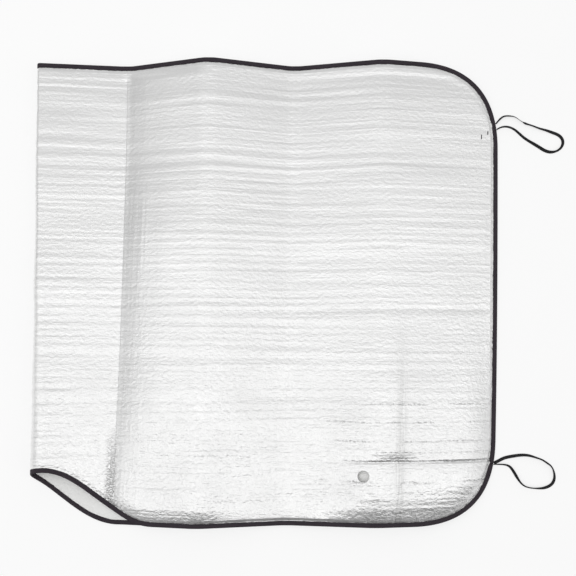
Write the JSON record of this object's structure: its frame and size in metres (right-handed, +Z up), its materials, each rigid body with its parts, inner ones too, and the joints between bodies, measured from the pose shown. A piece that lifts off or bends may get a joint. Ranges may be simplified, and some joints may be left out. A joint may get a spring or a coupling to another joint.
{
  "type": "windscreen sunshade",
  "caption": "Foil-faced foam windscreen sunshade with a mirror notch, bound edge and two elastic loops, folded once across and lying half opened.",
  "frame": {"origin": "on the surface that the folded shade lies on, under the middle of the box of its sheet and binding", "axes": "+X from the fold towards the end with the elastic loops, +Y from the notched side towards the straight side, +Z up"},
  "size_m": [0.8114, 0.7018, 0.0532],
  "materials": {
    "foil_faced_foam": "satin",
    "binding_tape": "matte",
    "strap_elastic": "matte"
  },
  "bodies": {
    "root": {"shade_sheet": "foil_faced_foam", "edge_binding": "binding_tape", "upper_strap_loop": "strap_elastic", "lower_strap_loop": "strap_elastic"}
  },
  "joints": []
}
